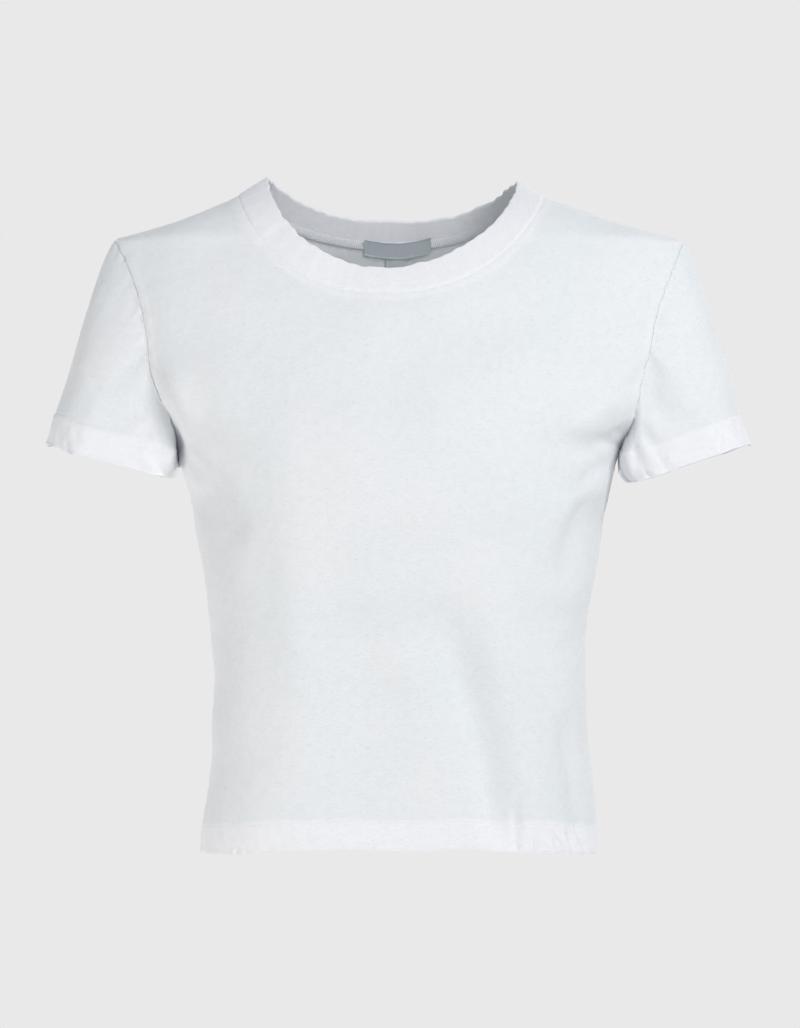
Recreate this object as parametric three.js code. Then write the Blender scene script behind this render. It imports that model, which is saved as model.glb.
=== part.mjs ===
// A short crew-neck top in slub cotton jersey, filled out as if worn. Millimetres, +Z up, front to -Y.
// The origin is midway between the shoulders, level with the neck seam where it crosses them.
// Left and right are the wearer's, so left is +X.
import * as THREE from "three";

const CLOTH = 1.2; // a single layer of jersey
const HEM_CLOTH = 2.2; // two layers, where a hem is turned up inside
const BAND_PROUD = 0.5; // the folded neckband stands this far outside the panels
const BAND_CLOTH = 2.2;
const LABEL_CLOTH = 1.0;
const SEAM_GAP = 0.3; // between pieces that are sewn together

const HEM_Z = -456; // bottom edge
const HEM_DEPTH = 21;
const HEM_RISE = { front: 7.5, back: 0 }; // the hem's middle is this much above its sides
const RISE_TOP = -300; // above here the rise has faded out
const UNDERARM_Z = -174;
const SHOULDER_Z = { left: -32.5, right: -30.5 }; // where the shoulder seam meets the sleeve
const NECK_Z = 1; // where the shoulder seam meets the neckband

const deg = THREE.MathUtils.degToRad;
const QUARTER = Math.PI / 2;

// The form that the body follows, from the neck down: half widths, depths and how square each ring is.
const BODY = [
  { z: 8, left: 88, right: 98, front: 26, back: 26, square: 2 },
  { z: 1, left: 101, right: 112, front: 33, back: 34, square: 2 },
  { z: -5, left: 117, right: 126, front: 40, back: 42, square: 2 },
  { z: -13, left: 140, right: 146, front: 48, back: 51, square: 2 },
  { z: -22, left: 168, right: 172, front: 54, back: 58, square: 2 },
  { z: -31.5, left: 198, right: 198.5, front: 60, back: 64, square: 1.9 },
  { z: -42, left: 200.5, right: 199.5, front: 65.5, back: 70, square: 2 },
  { z: -52, left: 201, right: 199.5, front: 70, back: 75.5, square: 2.1 },
  { z: -70, left: 200.5, right: 198.5, front: 78, back: 84, square: 2.15 },
  { z: -103, left: 197, right: 196, front: 92, back: 95, square: 2.2 },
  { z: -138, left: 186, right: 186, front: 105, back: 101, square: 2.25 },
  { z: -160, left: 169, right: 169, front: 113, back: 101, square: 2.3 },
  { z: -174, left: 156.5, right: 157, front: 116, back: 100, square: 2.3 },
  { z: -190, left: 150.5, right: 152.5, front: 118, back: 98, square: 2.35 },
  { z: -212, left: 145.5, right: 145.5, front: 118, back: 95, square: 2.45 },
  { z: -240, left: 140.5, right: 140, front: 115, back: 92, square: 2.6 },
  { z: -268, left: 136, right: 135, front: 110, back: 89, square: 2.7 },
  { z: -316, left: 129.5, right: 130.5, front: 102, back: 85, square: 2.75 },
  { z: -345, left: 130.5, right: 129.2, front: 99, back: 85, square: 2.75 },
  { z: -380, left: 132.3, right: 130.6, front: 98, back: 88, square: 2.75 },
  { z: -410, left: 135, right: 133, front: 99, back: 92, square: 2.75 },
  { z: -435, left: 138, right: 137, front: 101, back: 96, square: 2.75 },
  { z: HEM_Z, left: 138.6, right: 138, front: 102, back: 98, square: 2.75 },
].reverse();

// The neck seam and the folded top edge of the band: the middle, half width and height at the sides, the
// fall to the middle of the front and back, the shape of the curve between, and how far right it is drawn.
// The band is about 20 wide, and its edge leans in this far towards the neck.
const NECK_SEAM = {
  middle: -5.5,
  half: 106.5,
  side: { left: NECK_Z, right: NECK_Z },
  front: { fall: 71, power: 2.4, ease: 0.78, drawn: 3 },
  back: { fall: 32.6, power: 2.2, ease: 0.85, drawn: 0 },
};
const BAND_EDGE = {
  middle: -4.5,
  half: 87,
  side: { left: 12, right: 14.5 },
  front: { fall: 66, power: 1.9, ease: 0.6, drawn: 6, lean: 9.5 },
  back: { fall: 25.5, power: 2.7, ease: 1, drawn: 0, lean: 7 },
};

// How far the armhole's middle cuts into the front and the back, in degrees of the body's ring.
const ARMHOLE = { front: 28.5, back: 26.5 };

// Each cuff: the outer and inner end of its edge seen from the front, and half its depth.
const CUFFS = {
  left: { outer: [244.5, -173], inner: [160.3, -199.5], depth: 52, lean: 15, bulge: 34 },
  right: { outer: [-245.5, -173.5], inner: [-160.5, -196.5], depth: 52, lean: 17, bulge: 28 },
};
const SLEEVE_HEM = 22;

// Large soft folds, seen from the front or the back: a ridge has height over 0 and a trough under 0.
const FOLDS = [
  { side: "front", from: [-174, -118], to: [-146, -188], width: 7, height: -3.6 },
  { side: "front", from: [-161, -110], to: [-124, -204], width: 9, height: 3.6 },
  { side: "front", from: [-140, -196], to: [-104, -246], width: 11, height: -2.7 },
  { side: "front", from: [161, -156], to: [122, -190], width: 11, height: -3.6 },
  { side: "front", from: [154, -136], to: [112, -168], width: 11, height: 2.4 },
  { side: "front", from: [144, -206], to: [106, -280], width: 14, height: -3.6 },
  { side: "front", from: [52, -245], to: [106, -470], width: 15, height: 4.5 },
  { side: "front", from: [28, -270], to: [80, -470], width: 14, height: -4.2 },
  { side: "front", from: [2, -300], to: [44, -470], width: 16, height: 2.7 },
  { side: "front", from: [112, -345], to: [132, -470], width: 9, height: -3.6 },
  { side: "front", from: [-22, -270], to: [-30, -440], width: 20, height: -2.4 },
  { side: "front", from: [-68, -200], to: [-72, -445], width: 20, height: 2.7 },
  { side: "back", from: [-160, -130], to: [-96, -196], width: 12, height: -3.9 },
  { side: "back", from: [158, -126], to: [92, -186], width: 11, height: -3.6 },
  { side: "back", from: [-128, -292], to: [-30, -318], width: 11, height: -3.9 },
  { side: "back", from: [126, -318], to: [24, -344], width: 12, height: -4.2 },
  { side: "back", from: [-110, -330], to: [-8, -352], width: 12, height: 3 },
  { side: "back", from: [-62, -352], to: [-84, -470], width: 15, height: 4.2 },
  { side: "back", from: [-24, -360], to: [-36, -470], width: 14, height: -3.3 },
  { side: "back", from: [58, -350], to: [88, -470], width: 15, height: 3.9 },
  { side: "back", from: [16, -90], to: [6, -240], width: 26, height: -3 },
];

// Grid of a panel: rows up the side seam, round the armhole and along the shoulder, and columns across.
const SIDE_ROWS = 12;
const ARMHOLE_ROWS = 12;
const SHOULDER_ROWS = 4;
const PANEL_COLUMNS = 34;
const SLEEVE_STEPS = [0, 0.07, 0.17, 0.32, 0.52, 0.76, 1]; // shares of the way from the armhole to the hem
const HEM_STEPS = [0.05, 0.5, 1]; // shares of a hem's depth

// A smooth curve through one column of a table, with no overshoot between its rows.
function column(rows, key) {
  const slope = rows.slice(1).map((r, i) => (r[key] - rows[i][key]) / (r.z - rows[i].z));
  const tangent = rows.map((r, i) => {
    const a = slope[Math.max(i - 1, 0)];
    const b = slope[Math.min(i, slope.length - 1)];
    return a * b > 0 ? (2 * a * b) / (a + b) : 0;
  });
  return (z) => {
    const last = rows.length - 2;
    const above = rows.findIndex((r) => r.z > z);
    const i = above < 0 ? last : Math.min(last, Math.max(0, above - 1));
    const span = rows[i + 1].z - rows[i].z;
    const t = (z - rows[i].z) / span;
    const rise = rows[i + 1][key] - rows[i][key];
    const bend = tangent[i] * span * t * (1 - t) ** 2 - tangent[i + 1] * span * t * t * (1 - t);
    return rows[i][key] + rise * t * t * (3 - 2 * t) + bend;
  };
}
const body = Object.fromEntries(
  ["left", "right", "front", "back", "square"].map((key) => [key, column(BODY, key)]),
);

// A place on the form, by its height and its angle round the ring: 0 is the front, a quarter turn the left.
function onForm(angle, z) {
  const wide = (Math.sin(angle) > 0 ? body.left : body.right)(z);
  const deep = (Math.cos(angle) > 0 ? body.front : body.back)(z);
  const bend = (share) => Math.sign(share) * Math.abs(share) ** (2 / body.square(z));
  return new THREE.Vector3(wide * bend(Math.sin(angle)), -deep * bend(Math.cos(angle)), z);
}

function normalAt(angle, z) {
  const h = 0.5;
  const turn = h / 100;
  const across = onForm(angle + turn, z).sub(onForm(angle - turn, z));
  const up = onForm(angle, z + h).sub(onForm(angle, z - h));
  return across.cross(up).normalize();
}

const smooth = (t) => {
  const s = THREE.MathUtils.clamp(t, 0, 1);
  return s * s * (3 - 2 * s);
};

// How far the folds lift the cloth at a place seen from the front or the back, less near the side seams.
function foldHeight(angle, point) {
  const side = Math.cos(angle) > 0 ? "front" : "back";
  const fade = smooth(Math.abs(Math.cos(angle)) / 0.3);
  let height = 0;
  for (const f of FOLDS.filter((row) => row.side === side)) {
    const [x0, z0] = f.from;
    const run = [f.to[0] - x0, f.to[1] - z0];
    const length = Math.hypot(...run);
    const at = [point.x - x0, point.z - z0];
    const along = (at[0] * run[0] + at[1] * run[1]) / length ** 2;
    const away = (at[0] * run[1] - at[1] * run[0]) / length;
    const ends = smooth(along / 0.3) * smooth((1 - along) / 0.3);
    height += f.height * ends * Math.exp(-((away / f.width) ** 2));
  }
  return height * fade;
}

// A point of the cloth: outside it lies on the form and its folds, and depth goes into the wall.
function cloth(angle, z, depth = 0) {
  const p = onForm(angle, z);
  return p.addScaledVector(normalAt(angle, z), foldHeight(angle, p) - depth);
}

// The neck curves: t runs from a quarter turn right of the middle to a quarter turn left.
function neckCurve(curve, half, t) {
  const share = Math.abs(Math.sin(t));
  const { fall, power, ease, drawn } = curve[half];
  const top = THREE.MathUtils.lerp(curve.side.right, curve.side.left, (1 + Math.sin(t)) / 2);
  const x = curve.middle + curve.half * Math.sin(t) - drawn * Math.cos(t) ** 2;
  return { x, z: top - fall * Math.max(0, 1 - share ** power) ** ease };
}

// The angle at which the form has a given x, on its front or its back half.
function angleAt(x, z, half) {
  const share = Math.min(1, Math.abs(x) / (x > 0 ? body.left : body.right)(z));
  const turn = Math.asin(share ** (body.square(z) / 2));
  return Math.sign(x) * (half === "front" ? turn : Math.PI - turn);
}

// The stations up one side of the body: the hem, the side seam, the armhole and the shoulder.
function sideStations(side) {
  const rows = [{ z: HEM_Z, bite: 0, part: "hem" }];
  for (const share of [0.5, 0.95]) rows.push({ z: HEM_Z + share * HEM_DEPTH, bite: 0, part: "hem" });
  for (let i = 0; i < SIDE_ROWS; i++) {
    const z = THREE.MathUtils.lerp(HEM_Z + HEM_DEPTH, UNDERARM_Z, i / SIDE_ROWS);
    rows.push({ z, bite: 0, part: "side" });
  }
  const top = SHOULDER_Z[side];
  for (let i = 0; i < ARMHOLE_ROWS; i++) {
    const t = (Math.PI * i) / ARMHOLE_ROWS;
    const z = (top + UNDERARM_Z) / 2 - ((top - UNDERARM_Z) / 2) * Math.cos(t);
    rows.push({ z, bite: Math.sin(t), part: "armhole" });
  }
  for (let i = 0; i <= SHOULDER_ROWS; i++) {
    rows.push({ z: THREE.MathUtils.lerp(top, NECK_Z, i / SHOULDER_ROWS), bite: 0, part: "shoulder" });
  }
  let length = 0;
  rows.forEach((row, i) => {
    const p = onForm(QUARTER * (side === "left" ? 1 : -1), row.z);
    if (i) length += p.distanceTo(rows[i - 1].place);
    Object.assign(row, { place: p, length });
  });
  return rows.map((row) => ({ ...row, share: row.length / length }));
}
const STATIONS = { left: sideStations("left"), right: sideStations("right") };

// Half the gap along the side and shoulder seams, as an angle.
function sideGap(half, z) {
  return (SEAM_GAP / 2 / body[half](z)) ** (body.square(z) / 2);
}

// Angle and height of each point of a panel: level between the sides, sagging to the neckline at the top.
function panelGrid(half) {
  const front = half === "front";
  const columns = [...Array(PANEL_COLUMNS + 1).keys()].map((c) => c / PANEL_COLUMNS);
  const neck = columns.map((u) => {
    const t = THREE.MathUtils.lerp(-QUARTER, QUARTER, u);
    const { x, z } = neckCurve(NECK_SEAM, half, t);
    if (u === 0 || u === 1) return { turn: t, z: NECK_Z };
    const angle = angleAt(x, z, half);
    return { turn: front ? angle : Math.sign(angle) * (Math.PI - Math.abs(angle)), z };
  });
  return STATIONS.right.map((right, r) => {
    const left = STATIONS.left[r];
    const sag = smooth((right.share - 0.1) / 0.9);
    return columns.map((u, c) => {
      const trim = (row) => QUARTER - deg(ARMHOLE[half]) * row.bite - (row.bite ? 0 : sideGap(half, row.z));
      const turn = THREE.MathUtils.lerp(-trim(right), trim(left), u)
        + sag * (neck[c].turn - THREE.MathUtils.lerp(-QUARTER, QUARTER, u));
      const level = THREE.MathUtils.lerp(right.z, left.z, u);
      const rise = HEM_RISE[half] * Math.cos(turn) ** 2 * smooth((RISE_TOP - level) / (RISE_TOP - HEM_Z));
      const z = level + rise + sag * (neck[c].z - NECK_Z);
      return { angle: front ? turn : Math.sign(turn || 1) * Math.PI - turn, z, part: right.part };
    });
  });
}

// A closed wall between an outer and an inner grid of points. A tube joins its last column to its first.
function wall(outer, inner, tube = false) {
  const rows = outer.length;
  const columns = outer[0].length;
  const places = [...outer.flat(), ...inner.flat()];
  const at = (face, r, c) => face * rows * columns + r * columns + (c % columns);
  const faces = [];
  const quad = (a, b, c, d) => faces.push(a, b, c, a, c, d);
  const spans = tube ? columns : columns - 1;
  for (let c = 0; c < spans; c++) {
    for (let r = 0; r < rows - 1; r++) {
      quad(at(0, r, c), at(0, r, c + 1), at(0, r + 1, c + 1), at(0, r + 1, c));
      quad(at(1, r, c), at(1, r + 1, c), at(1, r + 1, c + 1), at(1, r, c + 1));
    }
    quad(at(0, 0, c), at(1, 0, c), at(1, 0, c + 1), at(0, 0, c + 1));
    quad(at(0, rows - 1, c), at(0, rows - 1, c + 1), at(1, rows - 1, c + 1), at(1, rows - 1, c));
  }
  for (let r = 0; r < rows - 1 && !tube; r++) {
    quad(at(0, r, 0), at(0, r + 1, 0), at(1, r + 1, 0), at(1, r, 0));
    quad(at(0, r, spans), at(1, r, spans), at(1, r + 1, spans), at(0, r + 1, spans));
  }
  let volume = 0;
  for (let i = 0; i < faces.length; i += 3) {
    const [a, b, c] = [places[faces[i]], places[faces[i + 1]], places[faces[i + 2]]];
    volume += a.dot(b.clone().cross(c));
  }
  if (volume < 0) faces.reverse();
  const geometry = new THREE.BufferGeometry().setFromPoints(places);
  geometry.setIndex(faces);
  geometry.computeVertexNormals();
  return geometry;
}

function panel(half) {
  const grid = panelGrid(half);
  const outer = grid.map((row) => row.map((p) => cloth(p.angle, p.z)));
  const inner = grid.map((row) => row.map((p) => cloth(p.angle, p.z, p.part === "hem" ? HEM_CLOTH : CLOTH)));
  const first = grid.findIndex((row) => row[0].part === "armhole");
  for (const side of ["left", "right"]) {
    const ring = armholeRing(side);
    const column = side === "left" ? PANEL_COLUMNS : 0;
    for (let i = 0; i <= ARMHOLE_ROWS; i++) {
      const { mitre } = ring[half === "front" ? i : (ring.length - i) % ring.length];
      inner[first + i][column] = outer[first + i][column].clone().addScaledVector(mitre, -CLOTH);
    }
  }
  return wall(outer, inner);
}

// The armhole of one side as a closed ring, from the underarm up the front and down the back. Each place has
// the way that the body's cloth would run on past the edge, the way that the sleeve leaves it, and the mitre
// between the two walls.
function armholeRing(side) {
  const sign = side === "left" ? 1 : -1;
  const rows = STATIONS[side].filter((row) => row.part === "armhole");
  const shoulder = { z: SHOULDER_Z[side], bite: 0 };
  const front = [...rows, shoulder].map(({ z, bite }) => [sign * (QUARTER - deg(ARMHOLE.front) * bite), z]);
  const turnBack = (bite) => sign * (QUARTER + deg(ARMHOLE.back) * bite);
  const back = rows.slice(1).reverse().map(({ z, bite }) => [turnBack(bite), z]);
  const ring = [...front, ...back].map(([turn, z]) => ({ place: cloth(turn, z), face: normalAt(turn, z) }));
  return ring.map((p, i) => {
    const next = ring[(i + 1) % ring.length].place;
    const before = ring[(i - 1 + ring.length) % ring.length].place;
    const along = next.clone().sub(before).normalize();
    const past = along.clone().cross(p.face).normalize().multiplyScalar(sign);
    const face = past.clone().cross(along).multiplyScalar(sign);
    const leave = past.clone().add(new THREE.Vector3(sign, 0, 0)).projectOnPlane(along).normalize();
    const other = leave.clone().cross(along).multiplyScalar(sign);
    const mitre = face.clone().add(other).divideScalar(Math.max(1 + face.dot(other), 0.9));
    return { place: p.place, past, leave, mitre };
  });
}

// A sleeve: each line of it leaves the armhole, turns into the arm and ends on the cuff.
function sleeve(side) {
  const sign = side === "left" ? 1 : -1;
  const { outer, inner, depth, lean, bulge } = CUFFS[side];
  const ring = armholeRing(side);
  const arm = new THREE.Vector3(sign * Math.sin(deg(lean)), 0, -Math.cos(deg(lean)));
  const middle = new THREE.Vector3((outer[0] + inner[0]) / 2, 0, (outer[1] + inner[1]) / 2);
  const wide = new THREE.Vector3(outer[0], 0, outer[1]).sub(middle);
  const deep = new THREE.Vector3(0, depth, 0);
  const steps = ring.map((p, i) => p.place.distanceTo(ring[(i + 1) % ring.length].place));
  const frontLength = steps.slice(0, ARMHOLE_ROWS).reduce((a, b) => a + b, 0);
  const backLength = steps.slice(ARMHOLE_ROWS).reduce((a, b) => a + b, 0);
  let run = 0;
  const lines = ring.map((p, i) => {
    const share = i <= ARMHOLE_ROWS ? run / frontLength : 1 + (run - frontLength) / backLength;
    run += steps[i];
    const turn = Math.PI * (1 - share); // half a turn at the underarm, none at the shoulder
    const end = middle.clone()
      .addScaledVector(wide, Math.cos(turn))
      .addScaledVector(deep, -Math.sin(turn));
    const start = p.place.clone().addScaledVector(p.past.clone().add(p.leave).normalize(), SEAM_GAP + 0.05);
    const chord = start.distanceTo(end);
    const leave = p.leave.clone().multiplyScalar(Math.min(bulge, 0.6 * chord));
    const arrive = arm.clone().multiplyScalar(chord);
    const line = (t) => {
      const point = new THREE.Vector3();
      point.addScaledVector(start, 2 * t ** 3 - 3 * t ** 2 + 1);
      point.addScaledVector(leave, t ** 3 - 2 * t ** 2 + t);
      point.addScaledVector(end, 3 * t ** 2 - 2 * t ** 3);
      point.addScaledVector(arrive, t ** 3 - t ** 2);
      return point;
    };
    const hemShare = 1 - Math.min(SLEEVE_HEM / chord, 0.8);
    const stops = SLEEVE_STEPS.map((s) => s * hemShare);
    stops.push(...HEM_STEPS.map((s) => hemShare + s * (1 - hemShare)));
    return { places: stops.map(line), mitre: p.mitre };
  });
  const rows = lines[0].places.length;
  const outerGrid = [...Array(rows).keys()].map((r) => lines.map((l) => l.places[r]));
  const innerGrid = outerGrid.map((row, r) => row.map((p, c) => {
    const thick = r < SLEEVE_STEPS.length ? CLOTH : HEM_CLOTH;
    const along = outerGrid[Math.min(r + 1, rows - 1)][c].clone().sub(outerGrid[Math.max(r - 1, 0)][c]);
    const round = row[(c + 1) % row.length].clone().sub(row[(c - 1 + row.length) % row.length]);
    const face = r === 0 ? lines[c].mitre : round.cross(along).normalize().multiplyScalar(sign);
    return p.clone().addScaledVector(face, -thick);
  }));
  return wall(outerGrid, innerGrid, true);
}

// The neckband: a ring that starts at the neck seam and leans in to its folded edge.
function neckband() {
  const turns = [...Array(PANEL_COLUMNS + 1).keys()].map((c) => Math.PI * (c / PANEL_COLUMNS - 0.5));
  const places = [
    ...turns.map((t) => ({ t, half: "front" })),
    ...turns.slice(1, -1).reverse().map((t) => ({ t, half: "back" })),
  ];
  const seam = places.map(({ t, half }) => {
    const { x, z } = neckCurve(NECK_SEAM, half, t);
    const end = Math.abs(Math.abs(t) - QUARTER) < 1e-6;
    const angle = end ? t : angleAt(x, z, half);
    return { place: cloth(angle, end ? NECK_Z : z), face: normalAt(angle, end ? NECK_Z : z) };
  });
  const edge = places.map(({ t, half }, i) => {
    const { x, z } = neckCurve(BAND_EDGE, half, t);
    const lean = BAND_EDGE[half].lean * Math.cos(t) ** 0.7;
    return new THREE.Vector3(x, seam[i].place.y + (half === "front" ? lean : -lean), z);
  });
  const shares = [0, 0.3, 0.65, 0.93, 1];
  const proud = [1, 1, 1, 0.9, 0.3];
  const grid = shares.map((s) => seam.map((p, i) => {
    const up = edge[i].clone().sub(p.place).normalize();
    const start = p.place.clone().addScaledVector(up, SEAM_GAP + 0.35);
    return start.lerp(edge[i], s);
  }));
  const faces = grid.map((row, r) => row.map((p, c) => {
    const next = row[(c + 1) % row.length].clone().sub(row[(c - 1 + row.length) % row.length]);
    const up = edge[c].clone().sub(seam[c].place);
    const own = next.cross(up).normalize();
    return r === 0 ? seam[c].face : own.lerp(seam[c].face, 0.3 * (1 - shares[r])).normalize();
  }));
  const moved = (p, r, c, out) => p.clone().addScaledVector(faces[r][c], out * proud[r]);
  const layer = (out) => grid.map((row, r) => row.map((p, c) => moved(p, r, c, out)));
  return wall(layer(BAND_PROUD), layer(BAND_PROUD - BAND_CLOTH), true);
}

// What is sewn on at the neck seam, inside the back: its right and left ends, and its depth below the seam.
const LABEL = { from: -25, to: 23, top: -4, bottom: 7.5, columns: 14, rows: 3 };
const TAB = { from: -9.5, to: 4.5, top: 8, bottom: 15.5, columns: 4, rows: 2 };

function label({ from, to, top, bottom, columns, rows }) {
  const layer = (depth) => [...Array(rows + 1).keys()].map((r) => [...Array(columns + 1).keys()].map((c) => {
    const x = THREE.MathUtils.lerp(from, to, c / columns);
    const t = Math.asin((x - NECK_SEAM.middle) / NECK_SEAM.half);
    const z = neckCurve(NECK_SEAM, "back", t).z - THREE.MathUtils.lerp(top, bottom, r / rows);
    return cloth(angleAt(x, z, "back"), z, depth);
  }));
  const lift = BAND_CLOTH - BAND_PROUD + SEAM_GAP;
  return wall(layer(lift), layer(lift + LABEL_CLOTH));
}

const jersey = new THREE.MeshStandardMaterial({ color: "#eef0f2", roughness: 0.92, metalness: 0 });
const doubled = new THREE.MeshStandardMaterial({ color: "#f6f7f9", roughness: 0.9, metalness: 0 });
const woven = new THREE.MeshStandardMaterial({ color: "#c9d2d8", roughness: 0.75, metalness: 0 });

const top = new THREE.Group();
function add(name, geometry, material) {
  const mesh = new THREE.Mesh(geometry, material);
  mesh.name = name;
  top.add(mesh);
}
add("front", panel("front"), jersey);
add("back", panel("back"), jersey);
add("sleeve_left", sleeve("left"), jersey);
add("sleeve_right", sleeve("right"), jersey);
add("neckband", neckband(), doubled);
add("neck_label", label(LABEL), woven);
add("size_tab", label(TAB), woven);

export default top;
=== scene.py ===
import math
import bpy
import numpy as np
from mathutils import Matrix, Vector


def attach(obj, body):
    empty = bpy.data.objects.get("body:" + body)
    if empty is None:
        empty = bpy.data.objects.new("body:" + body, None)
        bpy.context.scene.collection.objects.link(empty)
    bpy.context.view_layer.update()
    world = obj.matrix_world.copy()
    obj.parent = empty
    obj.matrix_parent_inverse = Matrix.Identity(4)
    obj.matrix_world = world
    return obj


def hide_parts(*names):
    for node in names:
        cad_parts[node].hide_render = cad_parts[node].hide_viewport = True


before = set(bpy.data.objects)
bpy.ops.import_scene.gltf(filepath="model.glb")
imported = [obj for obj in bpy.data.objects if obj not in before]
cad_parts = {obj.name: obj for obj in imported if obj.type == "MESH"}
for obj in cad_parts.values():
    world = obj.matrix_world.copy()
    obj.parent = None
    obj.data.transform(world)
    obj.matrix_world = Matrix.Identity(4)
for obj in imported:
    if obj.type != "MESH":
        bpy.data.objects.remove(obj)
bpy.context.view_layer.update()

# White slub jersey crop top, filled out with nobody in it.
# Everything here is in millimetres until newMesh makes metres of it.
# x to the right of the picture (the wearer's left), the front faces -y.
quarter = math.pi / 2


def linear(hexText):
    parts = [int(hexText[i:i + 2], 16) / 255 for i in (1, 3, 5)]
    return tuple(p / 12.92 if p <= 0.04045 else ((p + 0.055) / 1.055) ** 2.4 for p in parts) + (1.0,)


def unit(v):
    return v / np.maximum(np.linalg.norm(v, axis=-1, keepdims=True), 1e-9)


def smooth(t):
    s = np.clip(t, 0, 1)
    return s * s * (3 - 2 * s)


def mix(a, b, t):
    return a + (b - a) * t


# ---- camera, light and floor ----
studio = dict(
    pixel=0.7,           # mm of the shoulders' plane to one pixel of the 800 x 1028 frame
    distance=3000,
    aim=(0.7, -221.2),   # x and z that the frame's middle looks at
    backdrop="#E9E9E9",
    ambient=0.43,
    floorHeight=-1350,
)

scene = bpy.context.scene
camData = bpy.data.cameras.new("camera")
camData.sensor_width = 36
camData.lens = 18 * studio["distance"] / (514 * studio["pixel"])
camera = bpy.data.objects.new("camera", camData)
camera.location = (studio["aim"][0] / 1000, -studio["distance"] / 1000, studio["aim"][1] / 1000)
camera.rotation_euler = (quarter, 0, 0)
scene.collection.objects.link(camera)
scene.camera = camera
scene.view_settings.view_transform = "Standard"

world = bpy.data.worlds.new("studio")
scene.world = world
world.use_nodes = True
wn, wl = world.node_tree.nodes, world.node_tree.links
wn.clear()
seen = wn.new("ShaderNodeBackground")
seen.inputs["Color"].default_value = linear(studio["backdrop"])
lit = wn.new("ShaderNodeBackground")
lit.inputs["Color"].default_value = linear("#F1F6FB")
lit.inputs["Strength"].default_value = studio["ambient"]
rays = wn.new("ShaderNodeLightPath")
chooser = wn.new("ShaderNodeMixShader")
worldOut = wn.new("ShaderNodeOutputWorld")
wl.new(rays.outputs["Is Camera Ray"], chooser.inputs[0])
wl.new(lit.outputs[0], chooser.inputs[1])
wl.new(seen.outputs[0], chooser.inputs[2])
wl.new(chooser.outputs[0], worldOut.inputs["Surface"])

lamps = {
    # place, aim, width, height, watts, colour
    "key_soft": ((1.51, -2.42, 1.45), (0.0, 0.0, -0.2), 1.3, 1.6, 64, (1.0, 0.988, 0.972)),
    "fill_low_left": ((-1.94, -0.75, -0.98), (0.0, 0.0, -0.25), 1.4, 0.6, 14, (1.0, 0.93, 0.84)),
    "rear_soft_left": ((1.3, 2.9, 1.1), (0.0, 0.0, -0.25), 1.6, 1.6, 44, (1.0, 0.995, 0.985)),
    "rear_soft_right": ((-1.5, 2.7, 0.3), (0.0, 0.0, -0.25), 1.8, 1.8, 20, (1.0, 0.995, 0.985)),
}
for name, (place, aim, width, height, watts, colour) in lamps.items():
    data = bpy.data.lights.new(name, "AREA")
    data.shape = "RECTANGLE"
    data.size, data.size_y = width, height
    data.energy = watts
    data.color = colour
    lamp = bpy.data.objects.new(name, data)
    lamp.location = place
    lamp.rotation_euler = (Vector(aim) - Vector(place)).to_track_quat("-Z", "Y").to_euler()
    scene.collection.objects.link(lamp)

bpy.ops.mesh.primitive_circle_add(vertices=96, radius=5.0, fill_type="NGON",
                                  location=(0, 0, studio["floorHeight"] / 1000))
floor = bpy.context.object
floor.name = "studio_floor"
floorPaint = bpy.data.materials.new("matt pale studio floor")
floorPaint.use_nodes = True
floorShader = floorPaint.node_tree.nodes["Principled BSDF"]
floorShader.inputs["Base Color"].default_value = linear("#9A9A9A")
floorShader.inputs["Roughness"].default_value = 0.9
floorShader.inputs["Emission Color"].default_value = linear(studio["backdrop"])
floorShader.inputs["Emission Strength"].default_value = 0.6
floor.data.materials.append(floorPaint)
print("studio set")


# ---- the form under the cloth ----
formColumns = ("z", "left", "right", "front", "back", "square")
formTable = np.array([
    (-456, 138.6, 138, 102, 98, 2.75),
    (-435, 138, 137, 101, 96, 2.75),
    (-410, 135, 133, 99, 92, 2.75),
    (-380, 132.3, 130.6, 98, 88, 2.75),
    (-345, 130.5, 129.2, 99, 85, 2.75),
    (-316, 129.5, 130.5, 102, 85, 2.75),
    (-268, 136, 135, 110, 89, 2.7),
    (-240, 140.5, 140, 115, 92, 2.6),
    (-212, 145.5, 145.5, 118, 95, 2.45),
    (-190, 150.5, 152.5, 118, 98, 2.35),
    (-174, 156.5, 157, 116, 100, 2.3),
    (-160, 169, 169, 113, 101, 2.3),
    (-138, 186, 186, 105, 101, 2.25),
    (-103, 197, 196, 92, 95, 2.2),
    (-70, 200.5, 198.5, 78, 84, 2.15),
    (-52, 201, 199.5, 70, 75.5, 2.1),
    (-42, 200.5, 199.5, 65.5, 70, 2),
    (-31.5, 198, 198.5, 60, 64, 1.9),
    (-22, 168, 172, 54, 58, 2),
    (-13, 140, 146, 48, 51, 2),
    (-5, 117, 126, 40, 42, 2),
    (1, 101, 112, 33, 34, 2),
    (8, 88, 98, 26, 26, 2),
], float)
cut = dict(hemZ=-456.0, hemRise=7.5, underarmZ=-174.0, neckZ=1.0,
           shoulderZ=dict(left=-32.5, right=-30.5), armhole=dict(front=28.5, back=26.5))
neckSeam = dict(middle=-5.5, half=106.5, left=1.0, right=1.0,
                front=dict(fall=71, power=2.4, ease=0.78, drawn=3, lean=0),
                back=dict(fall=32.6, power=2.2, ease=0.85, drawn=0, lean=0))
bandEdge = dict(middle=-4.5, half=87, left=12.0, right=14.5,
                front=dict(fall=66, power=1.9, ease=0.6, drawn=6, lean=9.5),
                back=dict(fall=25.5, power=2.7, ease=1, drawn=0, lean=7))


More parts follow.
